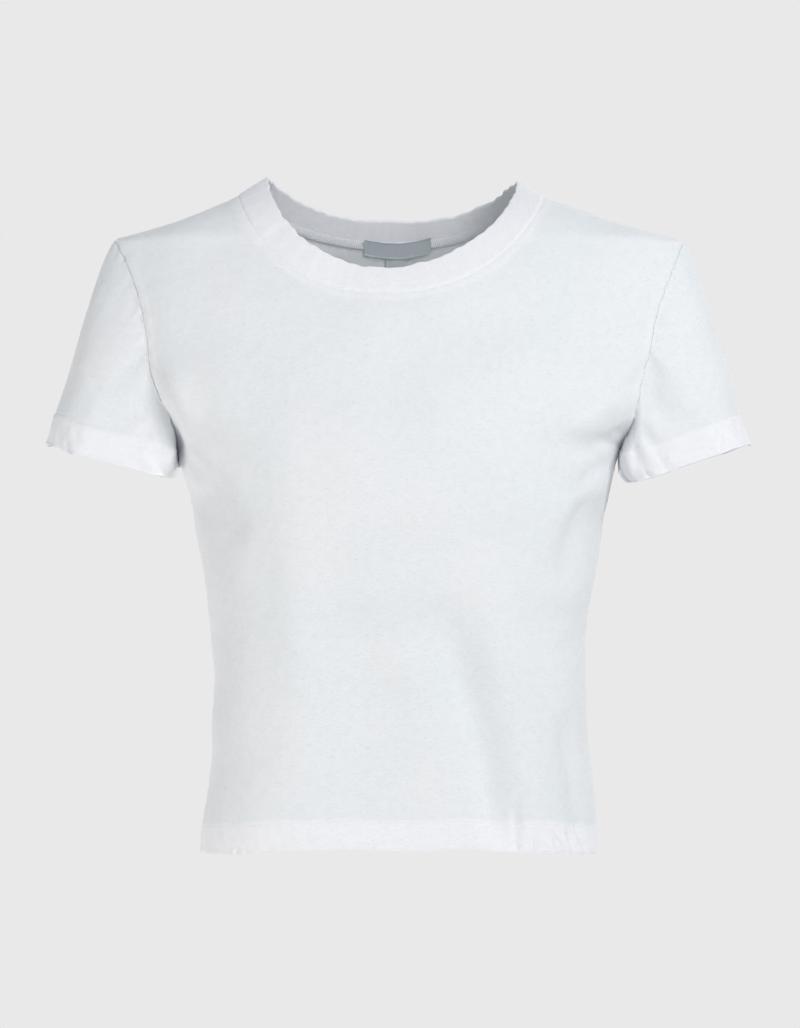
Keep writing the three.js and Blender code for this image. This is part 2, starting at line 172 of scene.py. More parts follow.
def throughTable(column):
    heights, values = formTable[:, 0], formTable[:, formColumns.index(column)]
    slope = np.diff(values) / np.diff(heights)
    below, above = np.r_[slope[0], slope], np.r_[slope, slope[-1]]
    same = below * above > 0
    tangent = np.where(same, 2 * below * above / np.where(same, below + above, 1), 0)

    def read(z):
        i = np.clip(np.searchsorted(heights, z, side="right") - 1, 0, len(heights) - 2)
        span = heights[i + 1] - heights[i]
        t = (z - heights[i]) / span
        bend = tangent[i] * span * t * (1 - t) ** 2 - tangent[i + 1] * span * t * t * (1 - t)
        return values[i] + (values[i + 1] - values[i]) * t * t * (3 - 2 * t) + bend
    return read


form = {name: throughTable(name) for name in formColumns[1:]}


def onForm(angle, z):
    angle, z = np.broadcast_arrays(np.asarray(angle, float), np.asarray(z, float))
    s, c = np.sin(angle), np.cos(angle)
    wide = np.where(s > 0, form["left"](z), form["right"](z))
    deep = np.where(c > 0, form["front"](z), form["back"](z))
    power = 2 / form["square"](z)
    return np.stack([wide * np.sign(s) * abs(s) ** power, -deep * np.sign(c) * abs(c) ** power, z], -1)


def formNormal(angle, z):
    across = onForm(angle + 0.005, z) - onForm(angle - 0.005, z)
    up = onForm(angle, z + 0.5) - onForm(angle, z - 0.5)
    return unit(np.cross(across, up))


def neckCurve(curve, half, t):
    side = curve[half]
    share = abs(np.sin(t))
    top = mix(curve["right"], curve["left"], (1 + np.sin(t)) / 2)
    x = curve["middle"] + curve["half"] * np.sin(t) - side["drawn"] * np.cos(t) ** 2
    return x, top - side["fall"] * np.maximum(0, 1 - share ** side["power"]) ** side["ease"]


def angleAt(x, z, half):
    wide = np.where(x > 0, form["left"](z), form["right"](z))
    turn = np.arcsin(np.minimum(1, abs(x) / wide) ** (form["square"](z) / 2))
    return np.sign(x) * (turn if half == "front" else math.pi - turn)


# ---- folds and creases ----
# large soft folds, the same as in the solid: x0, z0, x1, z1, width, height
bigFolds = dict(
    front=[
        (-174, -118, -146, -188, 7, -1.5), (-161, -110, -124, -204, 9, 3),
        (-140, -196, -104, -246, 11, -2.7), (161, -156, 122, -190, 12, -1.1),
        (154, -136, 112, -168, 11, 2.4), (144, -206, 106, -280, 14, -3.6),
        (52, -245, 106, -470, 15, 4.5), (28, -270, 80, -470, 14, -4.2),
        (2, -300, 44, -470, 16, 2.7), (112, -345, 132, -470, 9, -3.6),
        (-22, -270, -30, -440, 20, -2.4), (-68, -200, -72, -445, 20, 2.7),
    ],
    back=[
        (-160, -130, -96, -196, 12, -3.9), (158, -126, 92, -186, 11, -3.6),
        (-128, -292, -30, -318, 11, -3.9), (126, -318, 24, -344, 12, -4.2),
        (-110, -330, -8, -352, 12, 3), (-62, -352, -84, -470, 15, 4.2),
        (-24, -360, -36, -470, 14, -3.3), (58, -350, 88, -470, 15, 3.9),
        (16, -90, 6, -240, 26, -3),
    ],
)
# creases: x0, z0, x1, z1, bow, width, depth; a side view's x is y
creases = dict(
    front=[
        (-174, -116, -152, -166, 5, 3.6, 0.7), (-176, -132, -158, -158, 3, 2.4, 0.8),
        (-139, -152, -122, -190, 3, 6, 1.0), (-150, -178, -112, -222, -4, 6, 1.0),
        (-146, -196, -126, -236, 2, 5, 0.7), (158, -160, 128, -172, -4, 4.0, 0.9),
        (156, -174, 138, -170, -1, 2.4, 1.0), (152, -184, 116, -214, 5, 5.5, 1.1),
        (139, -206, 112, -262, 6, 7, 1.1), (173, -112, 150, -142, -3, 4, 0.9),
        (127, -300, 100, -322, -3, 6, 0.4), (79, -410, 87, -500, 1, 3.0, 1.2),
        (90, -436, 93, -480, 0, 2.2, 0.8), (-112, -447, -103, -472, 1, 2.0, 1.1),
        (1, -442, 6, -478, 0.5, 2.2, 0.8), (103, -436, 122, -480, 0.5, 2.8, 1.5),
        (113, -432, 130, -480, 0.5, 2.6, 1.6), (124, -430, 136, -474, 0.5, 2.6, 1.3),
        (60, -400, 66, -452, 2, 6, 0.6), (-52, -404, -57, -456, -2, 7, 0.5),
        (30, -300, 38, -440, 4, 10, 0.5),
    ],
    back=[
        (-166, -120, -118, -172, 6, 6, 1.2), (-156, -150, -112, -196, -4, 5, 1.0),
        (165, -118, 112, -164, -6, 6, 1.2), (154, -158, 104, -204, 5, 5.5, 1.0),
        (-129, -286, -48, -312, -5, 6, 1.2), (-126, -322, -66, -336, 3, 5, 0.9),
        (128, -296, 56, -322, 5, 6, 1.1), (127, -336, 72, -350, -3, 5, 0.8),
        (-104, -360, -84, -452, 3, 6, 0.8), (102, -372, 90, -450, -3, 6, 0.8),
        (-8, -402, -4, -456, 1, 4, 0.8), (44, -430, 47, -456, 0, 2.4, 1.1),
        (-70, -436, -73, -456, 0.5, 2.2, 0.9), (-116, -438, -118, -456, 0, 2.2, 0.8),
        (-38, -64, -20, -150, 4, 16, 0.5), (52, -62, 34, -146, -4, 15, 0.5),
    ],
    left=[
        (-44, -196, 8, -222, 3, 5, 0.9), (40, -188, -8, -232, -4, 6, 0.9),
        (-50, -300, 30, -312, 4, 6, 0.9), (46, -328, -30, -338, -3, 6, 0.8),
        (-20, -378, -14, -452, 2, 8, 0.7), (26, -436, 28, -456, 0, 2.4, 0.9),
    ],
    right=[
        (-46, -190, 6, -226, 4, 6, 1.0), (38, -200, -4, -236, -3, 5, 0.8),
        (-48, -306, 26, -300, -4, 6, 0.9), (44, -322, -34, -342, 3, 6, 0.8),
        (14, -386, 10, -454, -2, 8, 0.7), (-30, -438, -32, -456, 0, 2.4, 0.9),
    ],
)


def alongLine(x, z, x0, z0, x1, z1, bow=0.0):
    rx, rz = x1 - x0, z1 - z0
    length = math.hypot(rx, rz)
    along = ((x - x0) * rx + (z - z0) * rz) / length ** 2
    away = ((x - x0) * rz - (z - z0) * rx) / length
    return along, away - 4 * bow * along * (1 - along)


def foldLift(x, z, rows):
    lift = np.zeros(np.shape(x))
    for x0, z0, x1, z1, width, height in rows:
        along, away = alongLine(x, z, x0, z0, x1, z1)
        lift += height * smooth(along / 0.3) * smooth((1 - along) / 0.3) * np.exp(-(away / width) ** 2)
    return lift


# a trough between two uneven soft ridges, deepest nearer its start
def creaseLift(x, z, rows):
    lift = np.zeros(np.shape(x))
    for x0, z0, x1, z1, bow, width, depth in rows:
        along, away = alongLine(x, z, x0, z0, x1, z1, bow)
        ends = smooth(along / 0.22) * smooth((1 - along) / 0.5)
        d = away / (width * (0.8 + 0.5 * np.clip(along, 0, 1)))
        trough = np.exp(-abs(d) ** 1.7)
        ridges = 0.5 * np.exp(-((d - 1.7) / 1.1) ** 2) + 0.32 * np.exp(-((d + 1.9) / 1.3) ** 2)
        lift += depth * ends * (ridges - trough)
    return lift


def waves(seed, wavelength, dims):
    r = np.random.RandomState(seed)
    ways = unit(r.normal(size=(9, dims)))
    sizes = 2 * math.pi / (wavelength * r.uniform(0.7, 1.6, 9))
    starts = r.uniform(0, 2 * math.pi, 9)

    def read(*axes):
        total = 0
        for way, size, start in zip(ways, sizes, starts):
            total = total + np.sin(size * sum(w * a for w, a in zip(way, axes)) + start)
        return total / 3
    return read


slack = waves(4, 52, 3)
ripple = waves(11, 19, 3)
seamWave = waves(23, 10, 1)
hemWave = waves(31, 13, 2)
edgeWave = waves(47, 11, 1)
looseWave = waves(67, 34, 1)


drape = dict(folds=1.5, creases=1.6, sideCreases=0.4, slack=0.7, ripple=0.1, hemWander=0.8, hemFlutter=0.12)
wander, flutter = waves(53, 48, 2), waves(59, 14, 2)


def clothUnevenness(p):
    x, y, z = p[..., 0], p[..., 1], p[..., 2]
    return drape["slack"] * slack(x, y, z) + drape["ripple"] * ripple(x, y, z)


# how far the lower edge of a hem strays up or down
def edgeStray(p):
    x, y = p[..., 0], p[..., 1]
    return drape["hemWander"] * wander(x, y) + drape["hemFlutter"] * flutter(x, y)


def bodyFolds(angle, p):
    x, y, z = p[..., 0], p[..., 1], p[..., 2]
    facing = np.cos(angle)
    fade = smooth(abs(facing) / 0.3)
    fine = smooth(abs(facing) / 0.45)
    large = np.where(facing > 0, foldLift(x, z, bigFolds["front"]), foldLift(x, z, bigFolds["back"])) * fade
    small = np.where(facing > 0, creaseLift(x, z, creases["front"]), creaseLift(x, z, creases["back"])) * fine
    aside = np.where(x > 0, creaseLift(y, z, creases["left"]), creaseLift(y, z, creases["right"]))
    small += drape["sideCreases"] * aside * (1 - fine) ** 0.5
    return drape["folds"] * large + drape["creases"] * small


# ---- meshes ----
def newMesh(name, points, faces, material, uv=None, double=None):
    mesh = bpy.data.meshes.new(name)
    mesh.from_pydata((np.asarray(points) / 1000).tolist(), [], faces)
    mesh.polygons.foreach_set("use_smooth", [True] * len(mesh.polygons))
    mesh.set_sharp_from_angle(angle=math.radians(55))
    if uv is not None:
        layer = mesh.uv_layers.new(name="cut_mm")
        corner = np.empty(len(mesh.loops), np.int32)
        mesh.loops.foreach_get("vertex_index", corner)
        layer.data.foreach_set("uv", np.asarray(uv, float)[corner].ravel())
    if double is not None:
        mesh.attributes.new("double", "FLOAT", "POINT").data.foreach_set("value", np.asarray(double, float))
    mesh.materials.append(material)
    obj = bpy.data.objects.new(name, mesh)
    scene.collection.objects.link(obj)
    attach(obj, "root")
    return obj


def gridNormals(grid, tube):
    if tube:
        across = np.roll(grid, -1, 1) - np.roll(grid, 1, 1)
    else:
        across = np.gradient(grid, axis=1)
    return unit(np.cross(across, np.gradient(grid, axis=0)))


def lengths(grid, axis):
    steps = np.linalg.norm(np.diff(grid, axis=axis), axis=-1)
    zero = np.zeros_like(np.take(steps, [0], axis=axis))
    return np.concatenate([zero, np.cumsum(steps, axis=axis)], axis=axis)


def runAlong(line):
    return np.r_[0, np.cumsum(np.linalg.norm(np.diff(line, axis=0), axis=1))]


def readAt(at, run, line):
    return np.stack([np.interp(at, run, line[:, k]) for k in range(3)], -1)


def quads(index):
    return np.stack([index[:-1, :-1], index[:-1, 1:], index[1:, 1:], index[1:, :-1]], -1).reshape(-1, 4)


# a closed wall from an outer grid and its thickness at each point
def wallMesh(name, outer, thick, tube, material, double=None, facing=1, uv=None):
    rows, cols = outer.shape[:2]
    inner = outer - gridNormals(outer, tube) * facing * thick[..., None]
    index = np.arange(rows * cols).reshape(rows, cols)
    if tube:
        index = np.concatenate([index, index[:, :1]], axis=1)
    out = quads(index)
    n = rows * cols
    faces = [out, out[:, ::-1] + n]
    for edge, turned in ((index[0], True), (index[-1], False)):
        strip = np.stack([edge[:-1], edge[1:], edge[1:] + n, edge[:-1] + n], -1)
        faces.append(strip[:, ::-1] if turned else strip)
    if not tube:
        for edge, turned in ((index[:, 0], False), (index[:, -1], True)):
            strip = np.stack([edge[:-1], edge[1:], edge[1:] + n, edge[:-1] + n], -1)
            faces.append(strip[:, ::-1] if turned else strip)
    faces = np.concatenate(faces)
    if facing < 0:
        faces = faces[:, ::-1]
    if uv is None:
        across, up = lengths(outer, 1), lengths(outer, 0)
        uv = np.stack([across - across[:, cols // 2:cols // 2 + 1], up], -1)
    uv = uv.reshape(-1, 2)
    spread = np.zeros((rows, cols)) if double is None else double
    points = np.concatenate([outer.reshape(-1, 3), inner.reshape(-1, 3)])
    return newMesh(name, points, faces.tolist(), material,
                   np.concatenate([uv, uv]), np.concatenate([spread.ravel(), spread.ravel()]))


# ---- materials ----
def node(tree, kind, settings=None, **links):
    n = tree.nodes.new("ShaderNode" + kind)
    for key, value in (settings or {}).items():
        if key in n.inputs:
            n.inputs[key].default_value = value
        else:
            setattr(n, key, value)
    # in0 and in1 name a socket by its number
    for key, source in links.items():
        socket = int(key[2:]) if key in ("in0", "in1") else key
        tree.links.new(source, n.inputs[socket])
    return n


def maths(tree, operation, first, second=None):
    n = node(tree, "Math", {"operation": operation}, in0=first)
    if isinstance(second, (int, float)):
        n.inputs[1].default_value = second
    elif second is not None:
        tree.links.new(second, n.inputs[1])
    return n.outputs[0]


def ramp(tree, source, stops):
    n = tree.nodes.new("ShaderNodeValToRGB")
    bar = n.color_ramp
    while len(bar.elements) < len(stops):
        bar.elements.new(0.5)
    for element, (place, value) in zip(bar.elements, stops):
        element.position = place
        element.color = (value, value, value, 1) if not hasattr(value, "__len__") else value
    tree.links.new(source, n.inputs[0])
    return n.outputs[0]


def noise(tree, place, scale, detail, roughness):
    settings = {"Scale": scale, "Detail": detail, "Roughness": roughness}
    return node(tree, "TexNoise", settings, Vector=place).outputs[0]


def newMaterial(name):
    material = bpy.data.materials.new(name)
    material.use_nodes = True
    tree = material.node_tree
    return material, tree, tree.nodes["Principled BSDF"], node(tree, "UVMap", {"uv_map": "cut_mm"}).outputs[0]


# Cotton slub jersey: thick and thin yarn gives short level streaks, loops give a fine matt grain,
# one layer is a little greyer than two because the dark inside shows through it.
jerseyLook = dict(
    single="#ECEEF1", thin="#DDE0E4", tint="#E9EDF0", double="#F2F3F7",
    loopWide=0.85, loopHigh=0.65, loopDepth=0.05,      # mm
    slubLong=6.5, slubHigh=0.9, slubDepth=0.10,        # mm
    thinShare=0.42,                                    # how strongly a thin yarn shows grey
    fuzzDepth=0.08, mottleDepth=0.22,                  # mm
)


def slubJersey(name, look):
    material, tree, shader, cutPlace = newMaterial(name)
    doubled = node(tree, "Attribute", dict(attribute_name="double")).outputs["Fac"]
    thinScale = (1 / look["slubLong"], 1 / look["slubHigh"], 1)
    thickScale = (1 / (0.6 * look["slubLong"]), 1 / (0.8 * look["slubHigh"]), 1)
    stretched = node(tree, "Mapping", {"Scale": thinScale}, Vector=cutPlace).outputs[0]
    streak = noise(tree, stretched, 1.0, 2.0, 0.5)
    shifted = node(tree, "Mapping", {"Location": (41, 17, 0), "Scale": thickScale},
                   Vector=cutPlace).outputs[0]
    yarn = noise(tree, shifted, 1.0, 3.0, 0.55)
    thin = ramp(tree, streak, [(0.64, 0.0), (0.74, 1.0)])
    thick = ramp(tree, yarn, [(0.56, 0.0), (0.70, 1.0)])
    mottle = noise(tree, cutPlace, 0.16, 4.0, 0.6)
    broad = noise(tree, cutPlace, 0.012, 1.0, 0.5)

    ground = node(tree, "MixRGB", {"Color1": linear(look["single"]), "Color2": linear(look["tint"])},
                  Fac=ramp(tree, broad, [(0.40, 0.0), (0.62, 1.0)])).outputs[0]
    ground = node(tree, "MixRGB", {"Color2": linear(look["double"])}, Fac=doubled, Color1=ground).outputs[0]
    uneven = ramp(tree, mottle, [(0.30, 0.975), (0.70, 1.008)])
    ground = node(tree, "MixRGB", {"blend_type": "MULTIPLY", "Fac": 1.0},
                  Color1=ground, Color2=uneven).outputs[0]
    strength = maths(tree, "MULTIPLY", thin, look["thinShare"])
    ground = node(tree, "MixRGB", {"Color2": linear(look["thin"])}, Fac=strength, Color1=ground).outputs[0]
    tree.links.new(ground, shader.inputs["Base Color"])

    # knitted loops as rows of small Vs
    parts = node(tree, "SeparateXYZ", {}, Vector=cutPlace)
    wale = maths(tree, "DIVIDE", parts.outputs[0], look["loopWide"])
    leg = maths(tree, "ABSOLUTE", maths(tree, "SUBTRACT", maths(tree, "FRACT", wale), 0.5))
    course = maths(tree, "DIVIDE", parts.outputs[1], look["loopHigh"])
    phase = maths(tree, "MULTIPLY", maths(tree, "ADD", course, leg), 2 * math.pi)
    loops = maths(tree, "MULTIPLY", maths(tree, "COSINE", phase), 0.35)
    valley = maths(tree, "MULTIPLY", maths(tree, "POWER", leg, 2.0), -3.2)
    knit = maths(tree, "ADD", loops, valley)

    fuzz = noise(tree, cutPlace, 1.7, 2.0, 0.5)
    relief = node(tree, "Bump", {"Strength": 1.0, "Distance": look["loopDepth"] / 1000}, Height=knit)
    for height, depth in ((thick, "slubDepth"), (fuzz, "fuzzDepth"), (mottle, "mottleDepth")):
        relief = node(tree, "Bump", {"Strength": 1.0, "Distance": look[depth] / 1000},
                      Height=height, Normal=relief.outputs[0])
    tree.links.new(relief.outputs[0], shader.inputs["Normal"])
    rough = ramp(tree, fuzz, [(0.3, 0.84), (0.7, 0.95)])
    tree.links.new(rough, shader.inputs["Roughness"])
    shader.inputs["IOR"].default_value = 1.47
    shader.inputs["Specular IOR Level"].default_value = 0.25
    shader.inputs["Sheen Weight"].default_value = 0.15
    shader.inputs["Sheen Roughness"].default_value = 0.55
    return material


jersey = slubJersey("cotton slub single jersey", jerseyLook)


# Polyester satin label: fine level picks with a soft shine, plain because the part carries no name.
def wovenLabel(name, tone):
    material, tree, shader, place = newMaterial(name)
    picks = node(tree, "TexWave", {"Scale": 0.9, "Distortion": 0.6, "Detail": 1.0, "bands_direction": "Y"},
                 Vector=place).outputs["Fac"]
    ends = node(tree, "TexWave", {"Scale": 1.3, "Distortion": 0.4, "bands_direction": "X"},
                Vector=place).outputs["Fac"]
    both = maths(tree, "MULTIPLY", picks, ends)
    cloudy = noise(tree, place, 0.35, 2.0, 0.5)
    shade = ramp(tree, both, [(0.0, 0.86), (1.0, 1.0)])
    ground = node(tree, "MixRGB", {"Color1": linear(tone), "Color2": linear("#DDE5EA")},
                  Fac=ramp(tree, cloudy, [(0.35, 0.0), (0.7, 0.6)])).outputs[0]
    ground = node(tree, "MixRGB", {"blend_type": "MULTIPLY", "Fac": 1.0},
                  Color1=ground, Color2=shade).outputs[0]
    tree.links.new(ground, shader.inputs["Base Color"])
    bump = node(tree, "Bump", {"Strength": 1.0, "Distance": 0.00006}, Height=both)
    tree.links.new(bump.outputs[0], shader.inputs["Normal"])
    tree.links.new(ramp(tree, both, [(0.0, 0.55), (1.0, 0.42)]), shader.inputs["Roughness"])
    shader.inputs["IOR"].default_value = 1.57
    shader.inputs["Sheen Weight"].default_value = 0.15
    return material


labelCloth = wovenLabel("polyester satin label", "#D3DEE4")


# Spun polyester sewing thread: a twisted ply, a touch shinier than the cotton.
def sewingThread(name):
    material, tree, shader, place = newMaterial(name)
    ply = node(tree, "TexWave", {"Scale": 2.2, "Distortion": 0.3, "bands_direction": "DIAGONAL"},
               Vector=place).outputs["Fac"]
    twist = ramp(tree, ply, [(0.0, linear("#E2E7EB")), (1.0, linear("#F6F8FB"))])
    tree.links.new(twist, shader.inputs["Base Color"])
    bump = node(tree, "Bump", {"Strength": 1.0, "Distance": 0.00005}, Height=ply)
    tree.links.new(bump.outputs[0], shader.inputs["Normal"])
    shader.inputs["Roughness"].default_value = 0.6
    shader.inputs["IOR"].default_value = 1.57
    shader.inputs["Sheen Weight"].default_value = 0.2
    return material


thread = sewingThread("spun polyester thread")
print("materials made")


# ---- body panels ----
panelLook = dict(
    columns=220, edgeFine=0.22, edgeColumns=14,
    hemRows=(0, 0.35, 0.9, 1.8, 3.2, 5, 7.5, 10, 12.5, 15, 17, 18.6, 19.6, 20.3, 21, 21.7, 22.6, 24, 26),
    sideStep=3.1, armholeRows=56, shoulderRows=24, relax=200,
    single=0.8, hem=1.7,
    groove=0.22, grooveWide=0.8,
    allowance=0.45, allowanceWide=5.5,
    pucker=dict(side=0.3, armhole=0.4, shoulder=0.2, neck=0.1), puckerReach=7.0,
)


def spaced(count, fine, reach, both=True):
    i = np.arange(count) + 0.5
    near = np.minimum(i, count - i) if both else count - i
    steps = fine + (1 - fine) * smooth(near / reach)
    return np.r_[0, np.cumsum(steps)] / steps.sum()


# a row is its height, how far the armhole cuts in, the part of the side it is in, and its turn on the armhole
def sideStations(side):
    look = panelLook
    z = [cut["hemZ"] + d for d in look["hemRows"]]
    rows = [(v, 0.0, 0, 0.0) for v in z]
    low, high = z[-1], cut["underarmZ"]
    count = int((high - low) / look["sideStep"])
    rows += [(mix(low, high, i / count), 0.0, 1, 0.0) for i in range(1, count)]
    top = cut["shoulderZ"][side]
    for i in range(look["armholeRows"]):
        t = math.pi * i / look["armholeRows"]
        rows.append(((top + high) / 2 - (top - high) / 2 * math.cos(t), math.sin(t), 2, t))
    shoulder = spaced(look["shoulderRows"], 0.25, 8, both=False)
    rows += [(mix(top, cut["neckZ"], s), 0.0, 3, 0.0) for s in shoulder]
    z, bite, part, turn = (np.array(v) for v in zip(*rows))
    return dict(z=z, bite=bite, part=part, turn=turn)


station = {side: sideStations(side) for side in ("left", "right")}


# even rows and columns between four set borders, relaxed for a set number of turns to keep them from crossing
# near the armholes and the neck
def evenGrid(border, across, up, turns):
    a = ((across - across[0]) / (across[-1] - across[0]))[None, :, None]
    b = ((up - up[0]) / (up[-1] - up[0]))[:, None, None]
    p = border
    corners = (1 - b) * mix(p[0, 0], p[0, -1], a) + b * mix(p[-1, 0], p[-1, -1], a)
    p = (1 - a) * p[:, :1] + a * p[:, -1:] + (1 - b) * p[:1] + b * p[-1:] - corners
    dx, dy = np.diff(across)[None, :, None], np.diff(up)[:, None, None]
    xa, xb, ya, yb = dx[:, :-1], dx[:, 1:], dy[:-1], dy[1:]
    for _ in range(turns):
        west, east, south, north = p[1:-1, :-2], p[1:-1, 2:], p[:-2, 1:-1], p[2:, 1:-1]
        px, py = (east - west) / (xa + xb), (north - south) / (ya + yb)
        twist = (p[2:, 2:] - p[2:, :-2] - p[:-2, 2:] + p[:-2, :-2]) / ((xa + xb) * (ya + yb))
        cx = 2 * (py ** 2).sum(-1, keepdims=True) / (xa + xb)
        cy = 2 * (px ** 2).sum(-1, keepdims=True) / (ya + yb)
        pull = cx * (east / xb + west / xa) + cy * (north / yb + south / ya)
        pull -= 2 * (px * py).sum(-1, keepdims=True) * twist
        p[1:-1, 1:-1] = pull / (cx * (1 / xa + 1 / xb) + cy * (1 / ya + 1 / yb))
    return p


# nearest distance from every point to a line, and how far along that line it lies
def toLine(points, line):
    best = np.full(points.shape[:-1], 1e9)
    where = np.zeros(points.shape[:-1])
    run = runAlong(line)
    for i in range(len(line) - 1):
        step = line[i + 1] - line[i]
        size = float(step @ step)
        if size < 1e-9:
            continue
        t = np.clip((points - line[i]) @ step / size, 0, 1)
        gap = np.linalg.norm(points - line[i] - t[..., None] * step, axis=-1)
        nearer = gap < best
        best = np.where(nearer, gap, best)
        where = np.where(nearer, run[i] + t * (run[i + 1] - run[i]), where)
    return best, where


# where each point lay in the flat cloth: out along its level ring, and over the shoulder up its own length
def panelCut(angle, z, x, half):
    share = np.linspace(0, 1, 48)
    level = np.minimum(z, -70.0)
    middle = 0.0 if half == "front" else math.pi
    turn = np.where(z > level, angleAt(x, level, half), angle)
    if half == "back":
        turn = np.where(turn < 0, turn + 2 * math.pi, turn)
    ring = onForm(middle + (turn - middle)[..., None] * share, level[..., None])
    out = np.linalg.norm(np.diff(ring, axis=-2), axis=-1).sum(-1) * np.sign(x)
    heights = level[..., None] + (z - level)[..., None] * share
    over = onForm(angleAt(x[..., None], heights, half), heights)
    climb = np.linalg.norm(np.diff(over[..., 1:], axis=-2), axis=-1).sum(-1)
    return np.stack([out, level + climb], -1)


def panelSurface(half):
    look = panelLook
    left, right = station["left"], station["right"]
    u = spaced(look["columns"], look["edgeFine"], look["edgeColumns"])
    t = mix(-quarter, quarter, u)
    nx, nz = neckCurve(neckSeam, half, t)
    neckAngle = angleAt(nx, nz, "front")
    neckAngle[0], neckAngle[-1] = -quarter, quarter
    nz[0] = nz[-1] = cut["neckZ"]
    bite = math.radians(cut["armhole"][half])
    bites = {"right": right["bite"], "left": left["bite"]}
    if half == "front":
        for name, place in (("right", 0.78), ("left", 1.0)):
            turn = station[name]["turn"]
            bites[name] = bites[name] + 0.15 * np.exp(-((turn - place) / 0.35) ** 2) * smooth(turn / 0.3)
    rise = cut["hemRise"] if half == "front" else 0
    # borders in turn (times 120) and in height measured along the side, so the flat shoulder keeps its room
    heights = np.linspace(-470, cut["neckZ"], 2000)
    climb = runAlong(onForm(quarter, heights))
    border = np.zeros((len(left["z"]), len(u), 2))
    border[0] = np.stack([t, cut["hemZ"] + rise * np.cos(t) ** 2], -1)
    border[-1] = np.stack([neckAngle, nz], -1)
    border[:, 0] = np.stack([bite * bites["right"] - quarter, right["z"]], -1)
    border[:, -1] = np.stack([quarter - bite * bites["left"], left["z"]], -1)
    up = 0
    for sign, name in ((-1, "right"), (1, "left")):
        edge = onForm(sign * (quarter - bite * bites[name]), station[name]["z"])
        up = up + runAlong(edge) / 2
    border = np.stack([border[..., 0] * 120, np.interp(border[..., 1], heights, climb)], -1)
    grid = evenGrid(border, u * 400, up, look["relax"])
    turn, z = grid[..., 0] / 120, np.interp(grid[..., 1], climb, heights)
    angle = turn if half == "front" else np.where(turn < 0, -1, 1) * math.pi - turn
    flat = onForm(angle, z)
    normal = formNormal(angle, z)
    lift = bodyFolds(angle, flat) + clothUnevenness(flat)

    part = right["part"]
    seams = []
    for column, offset in ((0, 0), (-1, 400)):
        line = flat[:, column]
        for name, first, last in (("side", 0, 2), ("armhole", 2, 3), ("shoulder", 3, 4)):
            rows = np.flatnonzero((part >= first) & (part < last))
            if name != "shoulder":
                rows = np.r_[rows, rows[-1] + 1]
            away, along = toLine(flat, line[rows])
            seams.append((name, away, along + offset))
    away, along = toLine(flat, flat[-1])
    seams.append(("neck", away, along + 900))
    fromHem = flat[..., 2] - np.interp(flat[..., 0], flat[0, :, 0], flat[0, :, 2])
    allow = look["allowanceWide"]
    whiter = np.zeros(flat.shape[:2])
    for name, away, along in seams:
        deep = 1.0
        if name == "armhole":
            deep = np.where(flat[..., 0] > 0, mix(0.3, 1.0, smooth((flat[..., 2] + 115) / 30)),
                            mix(0.35, 0.75, smooth((flat[..., 2] + 85) / 30)))
        if name == "neck":
            deep = 0.5
        lift -= deep * look["groove"] * np.exp(-(away / look["grooveWide"]) ** 2)
        lift += look["pucker"][name] * seamWave(along) * np.exp(-away / look["puckerReach"])
        # the allowance lies under the back at the side and the shoulder, and shows through as a whiter strip
        if name == "armhole" or name == "neck" or half == "back":
            proud = look["allowance"] * (0.3 if name == "neck" else 1)
            lift += proud * smooth(away / 1.8) * (1 - smooth((away - allow) / 1.8))
            shows = 0.3 if name == "armhole" else 0.6
            whiter = np.maximum(whiter, shows * (1 - smooth((away - allow) / 1.5)))
    # the hem: two layers stand a little proud, and its fold is rolled
    lift += 0.3 * (1 - smooth((fromHem - 19.4) / 2.2)) - 0.5 * np.exp(-(fromHem / 0.9) ** 2)
    lift -= 0.22 * np.exp(-((fromHem - 19.0) / 0.7) ** 2)
    around = lengths(flat, 1)
    lift += 0.22 * hemWave(around + 0.5 * fromHem, 0.4 * fromHem) * (1 - smooth((fromHem - 20) / 8))
    outer = flat + normal * lift[..., None]
    stray = edgeStray(flat)
    outer[..., 2] += stray * (1 - smooth(fromHem / 60))
    inHem = 1 - smooth((fromHem - 20.4 - 0.4 * stray) / 0.8)
    thick = mix(look["single"], look["hem"], inHem)
    extra = dict(normal=normal, fromHem=fromHem, cut=panelCut(angle, z, flat[..., 0], half))
    return outer, thick, np.maximum(inHem, whiter), extra


panels = {}
for half in ("front", "back"):
    outer, thick, whiter, extra = panelSurface(half)
    piece = wallMesh(half + "_panel", outer, thick, False, jersey, whiter,
                     facing=1 if half == "front" else -1, uv=extra["cut"])
    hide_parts(half)
    panels[half] = dict(piece=piece, outer=outer, **extra)
    print(half, "panel made")


